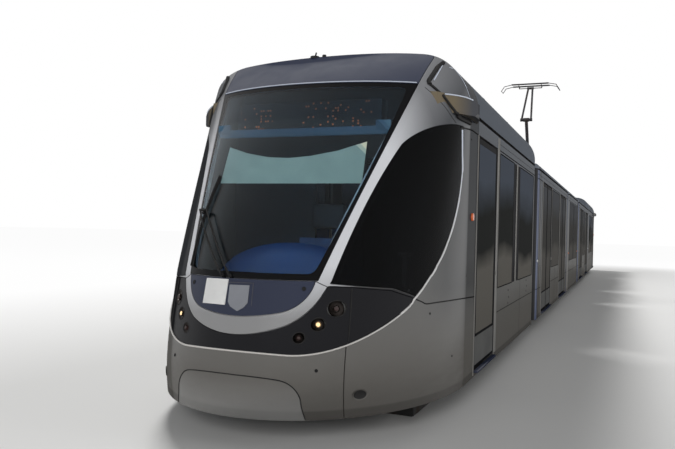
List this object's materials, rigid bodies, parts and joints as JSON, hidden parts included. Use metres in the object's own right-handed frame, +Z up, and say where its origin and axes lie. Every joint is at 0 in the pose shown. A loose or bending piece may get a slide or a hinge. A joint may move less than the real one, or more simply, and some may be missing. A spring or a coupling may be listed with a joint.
{
  "type": "articulated low-floor tram",
  "caption": "Double-ended low-floor tram of five hinged body sections on three bogies, with a raised single-arm pantograph.",
  "frame": {"origin": "centre of the bounding box on the floor that the wheel flanges stand on, under the middle of the centre section", "axes": "+Z up, +Y along the tram towards its rear cab, +X towards the left-hand side of a driver in the front cab"},
  "size_m": [2.84, 32.4122, 6.096],
  "materials": {
    "body_paint": "metallic silver-grey paint",
    "roof_paint": "metallic blue-grey paint",
    "clear_glass": "tinted laminated glass",
    "dark_glass": "dark tinted glass",
    "dark_panel": "dark blue-grey gloss panel",
    "lamp_glass": "lamp lens and bowl",
    "floor_covering": "speckled vinyl on an aluminium floor",
    "door_frame": "dark painted leaf with rubber edge",
    "bogie_steel": "dirty black paint",
    "cab_plastic": "grained dark plastic",
    "seat_shell": "moulded seat shell",
    "wheel_steel": "worn steel",
    "bellows_rubber": "matt black coated fabric",
    "pantograph_steel": "weathered grey paint"
  },
  "bodies": {
    "centre_section": {"centre_bogie_frame": "bogie_steel", "centre_floor": "floor_covering", "centre_roof": "roof_paint", "centre_seats": "seat_shell", "centre_side_walls": "body_paint", "centre_windows": "dark_glass", "pantograph_base": "pantograph_steel"},
    "front_link_section": {"front_link_bellows": "bellows_rubber", "front_link_doors": "door_frame", "front_link_floor": "floor_covering", "front_link_roof": "roof_paint", "front_link_seats": "seat_shell", "front_link_side_walls": "body_paint", "front_link_windows": "dark_glass"},
    "rear_link_section": {"rear_link_bellows": "bellows_rubber", "rear_link_doors": "door_frame", "rear_link_floor": "floor_covering", "rear_link_roof": "roof_paint", "rear_link_seats": "seat_shell", "rear_link_side_walls": "body_paint", "rear_link_windows": "dark_glass"},
    "front_cab_section": {"front_bogie_frame": "bogie_steel", "front_bumper": "body_paint", "front_cab_interior": "cab_plastic", "front_cab_shell": "body_paint", "front_doors": "door_frame", "front_floor": "floor_covering", "front_headlamps": "lamp_glass", "front_nose_panels": "dark_panel", "front_roof": "roof_paint", "front_seats": "seat_shell", "front_side_walls": "body_paint", "front_tow_bracket": "bogie_steel", "front_windows": "dark_glass", "front_windscreen": "clear_glass"},
    "rear_cab_section": {"rear_bogie_frame": "bogie_steel", "rear_bumper": "body_paint", "rear_cab_interior": "cab_plastic", "rear_cab_shell": "body_paint", "rear_doors": "door_frame", "rear_floor": "floor_covering", "rear_headlamps": "lamp_glass", "rear_nose_panels": "dark_panel", "rear_roof": "roof_paint", "rear_seats": "seat_shell", "rear_side_walls": "body_paint", "rear_tow_bracket": "bogie_steel", "rear_windows": "dark_glass", "rear_windscreen": "clear_glass"},
    "pantograph_lower_arm": {"pantograph_lower_arm": "pantograph_steel"},
    "pantograph_upper_arm": {"pantograph_upper_arm": "pantograph_steel"},
    "pantograph_head": {"pantograph_head": "pantograph_steel"},
    "centre_front_wheelset": {"centre_front_wheelset": "wheel_steel"},
    "centre_rear_wheelset": {"centre_rear_wheelset": "wheel_steel"},
    "front_inner_wheelset": {"front_inner_wheelset": "wheel_steel"},
    "front_outer_wheelset": {"front_outer_wheelset": "wheel_steel"},
    "rear_inner_wheelset": {"rear_inner_wheelset": "wheel_steel"},
    "rear_outer_wheelset": {"rear_outer_wheelset": "wheel_steel"}
  },
  "joints": [
    {"name": "front_inner_articulation", "type": "hinge", "parent": "centre_section", "child": "front_link_section", "pos_m": [0, -2.04, 0.337], "axis": [0, 0, 1], "range_deg": [-16, 16], "deforming": ["front_link_bellows"]},
    {"name": "rear_inner_articulation", "type": "hinge", "parent": "centre_section", "child": "rear_link_section", "pos_m": [0, 2.04, 0.337], "axis": [0, 0, -1], "range_deg": [-16, 16], "deforming": ["rear_link_bellows"]},
    {"name": "front_outer_articulation", "type": "hinge", "parent": "front_link_section", "child": "front_cab_section", "pos_m": [0, -9.04, 0.337], "axis": [0, 0, 1], "range_deg": [-16, 16], "deforming": ["front_link_bellows"]},
    {"name": "rear_outer_articulation", "type": "hinge", "parent": "rear_link_section", "child": "rear_cab_section", "pos_m": [0, 9.04, 0.337], "axis": [0, 0, -1], "range_deg": [-16, 16], "deforming": ["rear_link_bellows"]},
    {"name": "front_outer_axle", "type": "hinge", "parent": "front_cab_section", "child": "front_outer_wheelset", "pos_m": [0, -12, 0.322], "axis": [1, 0, 0], "continuous": true},
    {"name": "front_inner_axle", "type": "hinge", "parent": "front_cab_section", "child": "front_inner_wheelset", "pos_m": [0, -10.4, 0.322], "axis": [1, 0, 0], "continuous": true},
    {"name": "centre_front_axle", "type": "hinge", "parent": "centre_section", "child": "centre_front_wheelset", "pos_m": [0, -0.8, 0.322], "axis": [1, 0, 0], "continuous": true},
    {"name": "centre_rear_axle", "type": "hinge", "parent": "centre_section", "child": "centre_rear_wheelset", "pos_m": [0, 0.8, 0.322], "axis": [1, 0, 0], "continuous": true},
    {"name": "rear_inner_axle", "type": "hinge", "parent": "rear_cab_section", "child": "rear_inner_wheelset", "pos_m": [0, 10.4, 0.322], "axis": [1, 0, 0], "continuous": true},
    {"name": "rear_outer_axle", "type": "hinge", "parent": "rear_cab_section", "child": "rear_outer_wheelset", "pos_m": [0, 12, 0.322], "axis": [1, 0, 0], "continuous": true},
    {"name": "pantograph_shaft", "type": "hinge", "parent": "centre_section", "child": "pantograph_lower_arm", "pos_m": [0, 0.5, 3.527], "axis": [1, 0, 0], "range_deg": [0, 51]},
    {"name": "pantograph_knee", "type": "hinge", "parent": "pantograph_lower_arm", "child": "pantograph_upper_arm", "pos_m": [0, -0.34, 4.927], "axis": [1, 0, 0], "range_deg": [-102, 0]},
    {"name": "pantograph_head_pivot", "type": "hinge", "parent": "pantograph_upper_arm", "child": "pantograph_head", "pos_m": [0, 0.42, 5.982], "axis": [1, 0, 0], "range_deg": [0, 51]}
  ],
  "couplings": [
    {"joint": "pantograph_knee", "follows": "pantograph_shaft", "ratio": -2},
    {"joint": "pantograph_head_pivot", "follows": "pantograph_shaft", "ratio": 1}
  ]
}
